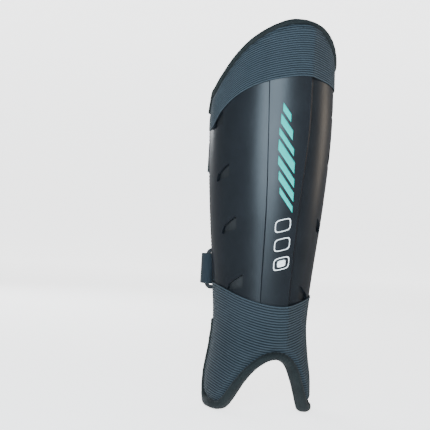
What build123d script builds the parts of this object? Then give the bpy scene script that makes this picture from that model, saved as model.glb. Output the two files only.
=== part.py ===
from build123d import *
import math
import os

# A shin guard for field hockey, as worn: +Z runs up the shin, -Y is the front, +X is the wearer's
# right. The origin is on the leg's axis, level with the lowest point of the ankle pads.
# Every wall of the guard is a layer of the same leg form, told apart by its offset from the leg.

# Leg form: height, half width, depth of the front from the leg's axis, forward shift of the
# section, and the raised front panel there: how far it stands proud, its middle's x, its half width
LEG_STATIONS = [
    (-10, 41.0, 41.0, 8.0, -3.0, 5.2, 13.5),
    (30, 40.0, 41.0, 7.0, -3.0, 5.2, 13.5),
    (56, 36.5, 39.0, 4.5, -2.0, 5.2, 13.5),
    (84, 34.6, 37.0, 1.5, 0.3, 5.2, 13.5),
    (130, 38.5, 40.0, 0.0, 2.8, 5.2, 13.5),
    (200, 45.5, 45.0, 0.0, 3.0, 6.5, 15.3),
    (270, 49.6, 47.0, 0.5, 3.0, 7.7, 19.0),
    (330, 48.0, 47.0, 2.5, 3.0, 6.4, 20.0),
    (390, 45.0, 46.0, 5.0, 3.0, 6.4, 20.0),
]
LOFT_STEP = 25.0  # spacing of the sections that the forms are lofted through
REAR_EDGE = 14.0  # the walls end this far behind the leg's axis
GUARD_WIDTH = 160.0  # wide enough to cut through both wings
FLOOR = -20.0  # below everything
CEILING = 420.0  # above everything
FRONT = -90.0  # in front of everything
OPEN_BACK = 30.0  # how far the hollow of a layer runs on past its rear edges

# Layers, as offsets outwards from the leg
LINING = (0.0, 0.7)
FOAM = (0.9, 7.0)
SHELL = (7.3, 10.0)
COVER = (0.4, 1.6)  # cuff and sleeve, outwards from the face of the shell
ANKLE_LINING = (0.0, 0.7)
ANKLE_PAD = (0.9, 9.9)
ROLL = (-0.6, 12.6)

# Front views of the edges, as points (x, z)
RIM = [(-72, 262), (-62, 300), (-54, 322), (-42, 343), (-28, 358), (-8, 370), (10, 375)]
RIM += [(34, 372), (48, 361), (56, 345), (62, 322), (72, 280)]
CUFF_EDGE = [(-72, 240), (-60, 268), (-53, 286), (-40, 301), (-21, 312), (5, 319), (25, 321)]
CUFF_EDGE += [(45, 318), (60, 313), (72, 308)]
RIM_ROLL_HEIGHT = 7.5
ROLL_GAP = 0.5  # between the roll and the layers that end below it
SLOPE_FRONT = -14.0  # the wings' tops slope down from here to the rear
SLOPE_REAR = 24.0
LEFT_SLOPE = (272.0, 318.0)  # heights at the rear and at the front of the slope
RIGHT_SLOPE = (314.0, 352.0)

# Shell
SHELL_BOTTOM = 96.0
PANEL_CURVE = 0.0074  # the face curves back by this times the square of the distance from its middle
BEVEL_WIDTH = 3.4
BEVEL_DROP = 9.5
PANEL_ROOT = 30.0  # the ridge reaches this far into the shell's form
VENT_HEIGHT = 19.0
VENT_WIDTH = 20.0
VENT_STEP = 0.35  # shares of half the vent's height and width that place its two inner corners
VENT_WAIST = 0.62
VENT_WAIST_DROP = 0.1
VENT_FILLET = 1.0
VENT_DEPTH = 6.0
LEFT_VENTS = [(122, -44), (177, -51), (227, -60), (277, -71)]  # height, degrees from the front
RIGHT_VENTS = [(114, 52), (180, 67), (245, 77), (291, 80)]

# Wing edge binding
BINDING_THICKNESS = 3.0
BINDING_BOTTOM = 100.0
LAYER_GAP = 0.3

# Ankle
FLEX_Z = 86.0  # height where the ankle part starts at the hinge
FLEX_Y = 4.0
FLEX_FRONT = -80.0
FLEX_FRONT_Z = 70.0
ARCH = [(-43, -4), (-32.5, 6), (-19, 30), (-6, 45), (8, 52), (20, 46), (28, 28), (33.5, 12)]
ARCH += [(40, -4)]
ARCH_STEPS = 14
ROLL_WIDTH = 8.5
INSTEP_HALF = 22.0
LOBE_REAR = 17.0
LOBE_CORNER = 24.0
LOBE_CLEAR = 5.0  # the cutting blocks run on past the lobes by this
SLEEVE_LAP = 60.0  # the sleeve's block runs this far up over the shell
SLEEVE_EDGE = [(-72, 128), (-48, 120), (-25, 110), (0, 104), (20, 104), (48, 113), (72, 120)]

# Straps: name, middle height, x of the ring's outer bar
STRAPS = [("upper", 244.0, -51.5), ("lower", 132.0, -52.3)]
STRAP_WIDTH = 30.0
WEB = 1.6
PATCH = 1.2
RING_Y = 26.0
RING_WIRE = 2.0
RING_BAR_GAP = 12.0
RING_INSIDE = 33.0
RING_EDGE = 0.45  # rounding of the ring's edges, as a share of its half width
FOLD_RADIUS = 5.4
STRAP_CLEAR = 0.9
KEEPER_LOOP = 3.9  # radius of the keeper's loop round the ring's inner bar
SEW_START = 1.0
SEW_END = 13.0
BACK_SWELL = 0.97  # the strap's back is a little flatter than a half circle
# Points of the strap behind the calf, as shares of the half width and of the swell
CALF_POINTS = [(0.84, 0.5), (0.5, 0.87), (0.0, 1.0), (-0.62, 0.87)]
RETURN_POINT = (0.93, 0.61)
HINGE_Y = 31.0
HINGE_CLEAR = 1.2
LOOP_SPAN = (0.28, 0.68)  # shares of the band's length
HOOK_SPAN = (0.47, 0.67)
TAB_SPAN = (0.70, 0.44)
TAB_STEPS = 7
BAND_STEPS = 60  # points along the outlines of the strips
LOOP_STEPS = 24
HOOK_STEPS = 16
TAB_OUTLINE_STEPS = 30
KEEPER_STEPS = 16
PATCH_GAP = 0.05
PATCH_INSET = 1.0  # the patches and the keeper are narrower than the strap by this at each edge
KEEPER_STEP = 0.4  # how far the keeper leans off the wing behind the binding
KEEPER_RISE = 1.5


def slope_at(index):
    """How fast each measure of the leg form changes with height at a station."""
    low = LEG_STATIONS[max(index - 1, 0)]
    high = LEG_STATIONS[min(index + 1, len(LEG_STATIONS) - 1)]
    return [(b - a) / (high[0] - low[0]) for a, b in zip(low, high)]


def section_at(height):
    """The leg form's measures at a height, without the height, smoothed between stations."""
    index = 0
    while height > LEG_STATIONS[index + 1][0]:
        index += 1
    low = LEG_STATIONS[index]
    high = LEG_STATIONS[index + 1]
    span = high[0] - low[0]
    t = (height - low[0]) / span
    measures = []
    for a, b, slope_a, slope_b in zip(low, high, slope_at(index), slope_at(index + 1)):
        from_low = (1 + 2 * t) * (1 - t) ** 2 * a + t * (1 - t) ** 2 * span * slope_a
        from_high = t * t * (3 - 2 * t) * b - t * t * (1 - t) * span * slope_b
        measures.append(from_low + from_high)
    return measures[1:]


def loft_heights():
    """Heights of the sections that the forms are lofted through."""
    bottom = LEG_STATIONS[0][0]
    steps = round((LEG_STATIONS[-1][0] - bottom) / LOFT_STEP)
    return [bottom + LOFT_STEP * step for step in range(steps + 1)]


def leg_form(offset, rear):
    """The solid inside a layer's face: a half ellipse in front, with straight walls to the rear."""
    with BuildPart() as form:
        for height in loft_heights():
            half_width, depth, forward, *_ = section_at(height)
            wide = half_width + offset
            deep = depth + offset
            with BuildSketch(Plane.XY.offset(height)):
                with BuildLine():
                    EllipticalCenterArc((0, -forward), wide, deep, start_angle=180, arc_size=180)
                    Line((wide, -forward), (wide, rear))
                    Line((wide, rear), (-wide, rear))
                    Line((-wide, rear), (-wide, -forward))
                make_face()
        loft()
    return form.part


def panel_form(grow):
    """The solid of the raised front panel, a flat-topped ridge that sinks away at the ankle."""
    with BuildPart() as form:
        for height in loft_heights():
            _, depth, forward, rise, middle, half = section_at(height)
            base = -forward - depth - SHELL[1] - grow
            front = base - rise
            shoulder = front + PANEL_CURVE * half**2
            half_top = half + grow / 2
            left = middle - half - BEVEL_WIDTH - grow
            right = middle + half + BEVEL_WIDTH + grow
            with BuildSketch(Plane.XY.offset(height)):
                with BuildLine():
                    left_top = (middle - half_top, shoulder)
                    right_top = (middle + half_top, shoulder)
                    ThreePointArc(left_top, (middle, front), right_top)
                    Line(right_top, (right, base + BEVEL_DROP))
                    Line((right, base + BEVEL_DROP), (right, base + PANEL_ROOT))
                    Line((right, base + PANEL_ROOT), (left, base + PANEL_ROOT))
                    Line((left, base + PANEL_ROOT), (left, base + BEVEL_DROP))
                    Line((left, base + BEVEL_DROP), left_top)
                make_face()
        loft()
    return form.part


def shell_form(grow, rear=REAR_EDGE):
    """The outside of the shell with its panel, grown outwards."""
    with BuildPart() as form:
        add(leg_form(SHELL[1] + grow, rear))
        add(panel_form(grow))
    return form.part


def cover(layer, rear=REAR_EDGE):
    """A fabric layer that lies over the shell and its panel, open at the back."""
    with BuildPart() as layer_cover:
        add(shell_form(layer[1], rear))
        add(shell_form(layer[0], rear + OPEN_BACK), mode=Mode.SUBTRACT)
    return layer_cover.part


def wall(layer, rear=REAR_EDGE):
    """A layer of the guard from its inner to its outer offset, open at the back."""
    with BuildPart() as layer_wall:
        add(leg_form(layer[1], rear))
        add(leg_form(layer[0], rear + OPEN_BACK), mode=Mode.SUBTRACT)
    return layer_wall.part


def moved(points, dz):
    """Points of an edge, raised."""
    return [(x, z + dz) for x, z in points]


def below(points, bottom, dz=0.0):
    """A sheet-through block, seen from the front, from a level line up to an edge's curve."""
    edge = moved(points, dz)
    with BuildPart() as block:
        with BuildSketch(Plane.XZ):
            with BuildLine():
                Spline(*edge)
                Line(edge[-1], (edge[-1][0], bottom))
                Line((edge[-1][0], bottom), (edge[0][0], bottom))
                Line((edge[0][0], bottom), edge[0])
            make_face()
        extrude(amount=GUARD_WIDTH, both=True)
    return block.part


def between(points, low, high):
    """A block, seen from the front, between two heights of the same edge's curve."""
    lower = moved(points, low)
    upper = moved(points, high)
    with BuildPart() as band:
        with BuildSketch(Plane.XZ):
            with BuildLine():
                Spline(*lower)
                Line(lower[-1], upper[-1])
                Spline(*upper[::-1])
                Line(upper[0], lower[0])
            make_face()
        extrude(amount=GUARD_WIDTH, both=True)
    return band.part


def vent(height, degrees):
    """A fin-shaped hole cut square to the wing, with its tip up and towards the ridge."""
    half_width, depth, forward, *_ = section_at(height)
    wide = half_width + SHELL[1]
    deep = depth + SHELL[1]
    turn = math.radians(degrees)
    middle = Vector(wide * math.sin(turn), -forward - deep * math.cos(turn), height)
    outwards = Vector(math.sin(turn) / wide, -math.cos(turn) / deep, 0).normalized()
    rearwards = Vector(0, 0, 1).cross(outwards) * math.copysign(1, degrees)
    face = Plane(origin=middle, x_dir=rearwards, z_dir=outwards)
    up = math.copysign(1, face.y_dir.Z)
    half = VENT_WIDTH / 2
    high = VENT_HEIGHT / 2 * up
    with BuildPart() as hole:
        with BuildSketch(face):
            with BuildLine():
                Polyline(
                    (-half, high),
                    (-half, -VENT_STEP * high),
                    (half, -high),
                    (VENT_WAIST * half, -VENT_WAIST_DROP * high),
                    close=True,
                )
            make_face()
            fillet(vertices(), VENT_FILLET)
        extrude(amount=VENT_DEPTH, both=True)
    return hole.part


def rear_trim(corner_x, slope, raised=0.0):
    """A wedge that slopes a wing's top down towards its rear edge, on one side of the guard."""
    low, high = slope
    with BuildPart() as wedge:
        with BuildSketch(Plane.YZ):
            with BuildLine():
                Polyline(
                    (SLOPE_FRONT, high + raised),
                    (SLOPE_REAR, low + raised),
                    (SLOPE_REAR, CEILING),
                    (SLOPE_FRONT, CEILING),
                    close=True,
                )
            make_face()
        extrude(amount=corner_x)
    return wedge.part


def drawn_out(points, distance):
    """An edge's points moved square to its curve, to the side that is on the left of it."""
    with BuildLine() as edge:
        Spline(*points)
    curve = edge.wire()
    moved_out = []
    for step in range(ARCH_STEPS + 1):
        point = curve @ (step / ARCH_STEPS)
        heading = curve % (step / ARCH_STEPS)
        moved_out.append((point.X - heading.Y * distance, point.Y + heading.X * distance))
    return moved_out


def ankle_block(inset):
    """The outline of the ankle part, seen from the front and the side, drawn in by an inset."""
    lobe_rear = LOBE_REAR - inset
    arch = drawn_out(ARCH, inset)
    with BuildPart() as block:
        with BuildSketch(Plane.YZ):
            with BuildLine():
                Polyline(
                    (FRONT, inset),
                    (lobe_rear, inset),
                    (lobe_rear, CEILING),
                    (FRONT, CEILING),
                    close=True,
                )
            make_face()
            rear_corner = vertices().group_by(Axis.X)[-1].sort_by(Axis.Y)[0]
            fillet(rear_corner, LOBE_CORNER - inset)
        extrude(amount=GUARD_WIDTH / 2, both=True)
        with BuildSketch(Plane.XZ):
            with BuildLine():
                Spline(*arch)
                Line(arch[-1], (arch[-1][0], FLOOR))
                Line((arch[-1][0], FLOOR), (arch[0][0], FLOOR))
                Line((arch[0][0], FLOOR), arch[0])
            make_face()
        extrude(amount=GUARD_WIDTH, both=True, mode=Mode.SUBTRACT)
    return block.part


def flex_block():
    """Everything below the line where the ankle part starts, which drops towards the front."""
    with BuildPart() as block:
        with BuildSketch(Plane.YZ):
            with BuildLine():
                Polyline(
                    (FLEX_FRONT, FLEX_FRONT_Z),
                    (FLEX_Y, FLEX_Z),
                    (LOBE_REAR + LOBE_CLEAR, FLEX_Z),
                    (LOBE_REAR + LOBE_CLEAR, FLOOR),
                    (FLEX_FRONT, FLOOR),
                    close=True,
                )
            make_face()
        extrude(amount=GUARD_WIDTH / 2, both=True)
    return block.part


def side_block(low_x, high_x):
    """A block between two places across the guard."""
    with BuildPart() as block:
        with BuildSketch(Plane.XY.offset(FLOOR)):
            with Locations(((low_x + high_x) / 2, 0)):
                Rectangle(high_x - low_x, GUARD_WIDTH * 2)
        extrude(amount=CEILING)
    return block.part


def strip(path, start, end, offset_by, thickness, count):
    """The plan outline of a strip along a path, as a face: two curves a thickness apart."""
    inner = []
    outer = []
    for step in range(count + 1):
        share = start + (end - start) * step / count
        point = path @ share
        normal = Vector(0, 0, 1).cross(path % share) * -1
        inner.append(point + normal * (offset_by - thickness / 2))
        outer.append(point + normal * (offset_by + thickness / 2))
    with BuildSketch() as plan:
        with BuildLine():
            Spline(*inner)
            Line(inner[-1], outer[-1])
            Spline(*outer[::-1])
            Line(outer[0], inner[0])
        make_face()
    return plan.sketch


rim_inner_block = below(RIM, SHELL_BOTTOM, -RIM_ROLL_HEIGHT - ROLL_GAP)
left_slope = rear_trim(-GUARD_WIDTH, LEFT_SLOPE)
right_slope = rear_trim(GUARD_WIDTH, RIGHT_SLOPE)
rim_left_slope = rear_trim(-GUARD_WIDTH, LEFT_SLOPE, RIM_ROLL_HEIGHT)
rim_right_slope = rear_trim(GUARD_WIDTH, RIGHT_SLOPE, RIM_ROLL_HEIGHT)

# Hard shell with its raised front panel and its vents
with BuildPart() as shell:
    add(shell_form(0))
    add(leg_form(SHELL[0], REAR_EDGE + OPEN_BACK), mode=Mode.SUBTRACT)
    add(rim_inner_block, mode=Mode.INTERSECT)
    add(left_slope, mode=Mode.SUBTRACT)
    add(right_slope, mode=Mode.SUBTRACT)
    for height, degrees in LEFT_VENTS + RIGHT_VENTS:
        add(vent(height, degrees), mode=Mode.SUBTRACT)

# Foam behind the shell
with BuildPart() as foam_liner:
    add(wall(FOAM))
    add(rim_inner_block, mode=Mode.INTERSECT)
    add(left_slope, mode=Mode.SUBTRACT)
    add(right_slope, mode=Mode.SUBTRACT)

# Brushed lining on the leg side
with BuildPart() as lining_fabric:
    add(wall(LINING))
    add(rim_inner_block, mode=Mode.INTERSECT)
    add(left_slope, mode=Mode.SUBTRACT)
    add(right_slope, mode=Mode.SUBTRACT)


def wing_binding(side, slope):
    """The folded tape that closes a wing's rear edge."""
    with BuildPart() as binding:
        add(wall((LINING[0], SHELL[1]), REAR_EDGE + BINDING_THICKNESS))
        add(rim_inner_block, mode=Mode.INTERSECT)
        add(slope, mode=Mode.SUBTRACT)
        with BuildSketch(Plane.XY.offset(BINDING_BOTTOM)):
            with Locations((side * GUARD_WIDTH / 4, REAR_EDGE + LAYER_GAP + OPEN_BACK / 2)):
                Rectangle(GUARD_WIDTH / 2, OPEN_BACK)
        extrude(amount=CEILING, mode=Mode.INTERSECT)
    return binding


left_binding = wing_binding(-1, left_slope)
right_binding = wing_binding(1, right_slope)

# Ribbed elastic cuff over the top of the shell
with BuildPart() as top_cuff:
    add(cover(COVER))
    add(rim_inner_block, mode=Mode.INTERSECT)
    add(below(CUFF_EDGE, FLOOR), mode=Mode.SUBTRACT)
    add(left_slope, mode=Mode.SUBTRACT)
    add(right_slope, mode=Mode.SUBTRACT)

# Padded roll along the top rim
with BuildPart() as top_bumper:
    add(wall(ROLL, REAR_EDGE + BINDING_THICKNESS))
    add(between(RIM, -RIM_ROLL_HEIGHT, 0), mode=Mode.INTERSECT)
    add(rim_left_slope, mode=Mode.SUBTRACT)
    add(rim_right_slope, mode=Mode.SUBTRACT)

# Ankle: outer sleeve, lining, three pads and the roll round their lower edge
inner_ankle = ankle_block(ROLL_WIDTH + LAYER_GAP)
ankle_side = flex_block()

with BuildPart() as ankle_sleeve:
    add(inner_ankle)
    with BuildSketch(Plane.YZ):
        with Locations(((REAR_EDGE + FRONT) / 2, SHELL_BOTTOM + SLEEVE_LAP / 2)):
            Rectangle(REAR_EDGE - FRONT, SLEEVE_LAP)
    extrude(amount=GUARD_WIDTH / 2, both=True)
    add(below(SLEEVE_EDGE, FLOOR), mode=Mode.INTERSECT)
    add(cover(COVER), mode=Mode.INTERSECT)

with BuildPart() as ankle_lining:
    add(wall(ANKLE_LINING))
    add(inner_ankle, mode=Mode.INTERSECT)
    add(ankle_side, mode=Mode.INTERSECT)


def ankle_pad(low_x, high_x):
    """One of the pads inside the ankle part, between two places across it."""
    with BuildPart() as pad:
        add(wall(ANKLE_PAD))
        add(inner_ankle, mode=Mode.INTERSECT)
        add(ankle_side, mode=Mode.INTERSECT)
        add(side_block(low_x, high_x), mode=Mode.INTERSECT)
    return pad


instep_pad = ankle_pad(-INSTEP_HALF, INSTEP_HALF)
left_ankle_pad = ankle_pad(-GUARD_WIDTH / 2, -INSTEP_HALF - LAYER_GAP)
right_ankle_pad = ankle_pad(INSTEP_HALF + LAYER_GAP, GUARD_WIDTH / 2)

with BuildPart() as ankle_bumper:
    add(wall(ROLL, LOBE_REAR + LOBE_CLEAR))
    add(ankle_block(0), mode=Mode.INTERSECT)
    add(ankle_block(ROLL_WIDTH), mode=Mode.SUBTRACT)
    add(ankle_side, mode=Mode.INTERSECT)

parts = {
    "shell": shell,
    "foam_liner": foam_liner,
    "lining_fabric": lining_fabric,
    "left_binding": left_binding,
    "right_binding": right_binding,
    "top_cuff": top_cuff,
    "top_bumper": top_bumper,
    "ankle_sleeve": ankle_sleeve,
    "ankle_lining": ankle_lining,
    "instep_pad": instep_pad,
    "left_ankle_pad": left_ankle_pad,
    "right_ankle_pad": right_ankle_pad,
    "ankle_bumper": ankle_bumper,
}

# Straps: a band that is sewn inside the right wing, goes round the calf, through a ring on the left
# wing and back on itself, where its end is held by hook and loop.
for strap_name, strap_z, ring_x in STRAPS:
    low = strap_z - STRAP_WIDTH / 2
    inside = min(section_at(low)[0], section_at(low + STRAP_WIDTH)[0]) - STRAP_CLEAR - WEB / 2
    inner_leg = ring_x + FOLD_RADIUS
    outer_leg = ring_x - FOLD_RADIUS
    bulge = inside * BACK_SWELL
    with BuildLine() as band_path:
        Spline(
            (inside, SEW_START),
            (inside, SEW_END),
            *[(across * inside, SEW_END + back * bulge) for across, back in CALF_POINTS],
            (RETURN_POINT[0] * inner_leg, SEW_END + RETURN_POINT[1] * bulge),
            (inner_leg, RING_Y),
            tangents=[(0, 1), (0, -1)],
        )
        ThreePointArc((inner_leg, RING_Y), (ring_x, RING_Y - FOLD_RADIUS), (outer_leg, RING_Y))
        Line((outer_leg, RING_Y), (outer_leg, HINGE_Y - HINGE_CLEAR))
    band_line = band_path.wire()
    tab_offset = WEB + 2 * PATCH + 2 * LAYER_GAP

    def beside(share, distance):
        """The point a distance outside the band at a share of its length."""
        point = band_line @ share
        return point + Vector(0, 0, 1).cross(band_line % share) * -distance

    tab_first, tab_last = TAB_SPAN
    tab_shares = [tab_first + (tab_last - tab_first) * i / TAB_STEPS for i in range(TAB_STEPS + 1)]
    with BuildLine() as tab_path:
        Spline(
            (outer_leg, HINGE_Y + HINGE_CLEAR),
            *[beside(share, tab_offset) for share in tab_shares],
            tangents=[(0, 1), band_line % tab_last * -1],
        )
    tab_line = tab_path.wire()

    with BuildPart() as band:
        with BuildSketch(Plane.XY.offset(low)):
            add(strip(band_line, 0, 1, 0, WEB, BAND_STEPS))
        extrude(amount=STRAP_WIDTH)

    with BuildPart() as loop_patch:
        with BuildSketch(Plane.XY.offset(low + PATCH_INSET)):
            add(strip(band_line, *LOOP_SPAN, (WEB + PATCH) / 2 + PATCH_GAP, PATCH, LOOP_STEPS))
        extrude(amount=STRAP_WIDTH - 2 * PATCH_INSET)

    with BuildPart() as hook_patch:
        with BuildSketch(Plane.XY.offset(low + PATCH_INSET)):
            add(strip(band_line, *HOOK_SPAN, tab_offset - (WEB + PATCH) / 2 - PATCH_GAP, PATCH, HOOK_STEPS))
        extrude(amount=STRAP_WIDTH - 2 * PATCH_INSET)

    with BuildPart() as tab:
        with BuildSketch(Plane.XY.offset(low)):
            add(strip(tab_line, 0, 1, 0, WEB, TAB_OUTLINE_STEPS))
        extrude(amount=STRAP_WIDTH)

    bar_x = ring_x + RING_BAR_GAP
    with BuildPart() as ring:
        with BuildSketch(Plane.XZ.offset(-RING_Y - RING_WIRE)):
            with Locations(((ring_x + bar_x) / 2, strap_z)):
                RectangleRounded(RING_BAR_GAP + 2 * RING_WIRE, RING_INSIDE + 4 * RING_WIRE, 3 * RING_WIRE)
                slot_width = RING_BAR_GAP - 2 * RING_WIRE
                RectangleRounded(slot_width, RING_INSIDE, RING_WIRE, mode=Mode.SUBTRACT)
        extrude(amount=2 * RING_WIRE)
        fillet(edges().filter_by(Plane.XZ), RING_EDGE * RING_WIRE)

    with BuildLine() as keeper_path:
        Spline(
            (-inside, SEW_START),
            (-inside, SEW_END),
            (-inside + KEEPER_STEP, REAR_EDGE + BINDING_THICKNESS + KEEPER_RISE),
            (bar_x + KEEPER_LOOP, RING_Y),
            tangents=[(0, 1), (0, 1)],
        )
    with BuildPart() as keeper:
        with BuildSketch(Plane.XY.offset(low + PATCH_INSET)):
            add(strip(keeper_path.wire(), 0, 1, 0, WEB, KEEPER_STEPS))
            with Locations((bar_x, RING_Y)):
                Circle(KEEPER_LOOP + WEB / 2)
                Circle(KEEPER_LOOP - WEB / 2, mode=Mode.SUBTRACT)
        extrude(amount=STRAP_WIDTH - 2 * PATCH_INSET)

    parts[f"{strap_name}_strap"] = band
    parts[f"{strap_name}_loop_patch"] = loop_patch
    parts[f"{strap_name}_hook_patch"] = hook_patch
    parts[f"{strap_name}_tab"] = tab
    parts[f"{strap_name}_ring"] = ring
    parts[f"{strap_name}_keeper"] = keeper
os.makedirs("parts", exist_ok=True)
for name, sub_part in parts.items():
    sub_part.part.label = name
    export_step(sub_part.part, f"parts/{name}.step")
    print(name, round(sub_part.part.volume), len(sub_part.part.solids()), sub_part.part.is_valid)
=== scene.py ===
import logging
import math
from dataclasses import dataclass, field
from enum import Enum
from typing import Callable, Sequence

import bmesh
import bpy
import numpy as np
from mathutils import Matrix, Vector


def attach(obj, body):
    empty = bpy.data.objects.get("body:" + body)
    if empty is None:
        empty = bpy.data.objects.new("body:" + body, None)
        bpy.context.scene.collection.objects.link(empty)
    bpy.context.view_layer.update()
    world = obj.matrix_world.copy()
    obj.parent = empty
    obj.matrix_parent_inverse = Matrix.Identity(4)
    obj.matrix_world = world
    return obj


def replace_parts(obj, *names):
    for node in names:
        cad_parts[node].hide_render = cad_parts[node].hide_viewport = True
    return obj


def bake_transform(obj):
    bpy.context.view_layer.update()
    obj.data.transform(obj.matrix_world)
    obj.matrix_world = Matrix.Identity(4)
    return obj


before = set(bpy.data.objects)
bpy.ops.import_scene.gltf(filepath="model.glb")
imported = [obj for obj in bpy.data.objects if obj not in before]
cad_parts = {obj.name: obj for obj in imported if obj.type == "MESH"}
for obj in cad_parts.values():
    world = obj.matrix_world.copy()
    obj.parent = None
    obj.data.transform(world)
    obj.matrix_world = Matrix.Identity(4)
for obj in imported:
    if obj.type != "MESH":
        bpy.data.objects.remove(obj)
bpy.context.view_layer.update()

LOG = logging.getLogger("shin_guard")
Array = np.ndarray
Place = Callable[[Array, Array], Array]
ELASTIC_THICK = 0.0006
LINING_THICK = 0.0005
SEAM_STEP = 0.0034  # from stitch to stitch where ribbed cloth is sewn down
SEAM_STITCH = 0.0024


# ---------------------------------------------------------------- curves and the leg form


class Profile:
    """A smooth curve through points, giving a value for each place along it."""

    def __init__(self, places: Sequence[float], values: Sequence[float]) -> None:
        """Keeps the points and their slopes.

        Args:
            places: where the points lie, rising.
            values: the value at each point.
        """
        self.x = np.array(places, float)
        self.y = np.array(values, float)
        inner = (self.y[2:] - self.y[:-2]) / (self.x[2:] - self.x[:-2])
        first = (self.y[1] - self.y[0]) / (self.x[1] - self.x[0])
        last = (self.y[-1] - self.y[-2]) / (self.x[-1] - self.x[-2])
        self.slope = np.concatenate([[first], inner, [last]])

    def __call__(self, at: Array) -> Array:
        """Returns the values at the places given, held level past the ends."""
        at = np.clip(np.asarray(at, float), self.x[0], self.x[-1])
        i = np.clip(np.searchsorted(self.x, at) - 1, 0, len(self.x) - 2)
        span = self.x[i + 1] - self.x[i]
        t = (at - self.x[i]) / span
        low = (1 + 2 * t) * (1 - t) ** 2 * self.y[i] + t * (1 - t) ** 2 * span * self.slope[i]
        high = t * t * (3 - 2 * t) * self.y[i + 1] - t * t * (1 - t) * span * self.slope[i + 1]
        return low + high


def smooth_step(t: Array) -> Array:
    """Returns 0 to 1 with level ends, for t from 0 to 1."""
    t = np.clip(t, 0, 1)
    return t * t * (3 - 2 * t)


def soft_noise(u: Array, v: Array, seed: int, waves: int = 5) -> Array:
    """Returns a gentle seeded unevenness, about -1 to 1, from a few crossed sine waves."""
    rng = np.random.default_rng(seed)
    total = np.zeros(np.broadcast(u, v).shape)
    for _ in range(waves):
        a, b = rng.uniform(-1, 1, 2)
        total = total + np.sin(a * u + b * v + rng.uniform(0, 2 * math.pi))
    return total / waves


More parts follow.
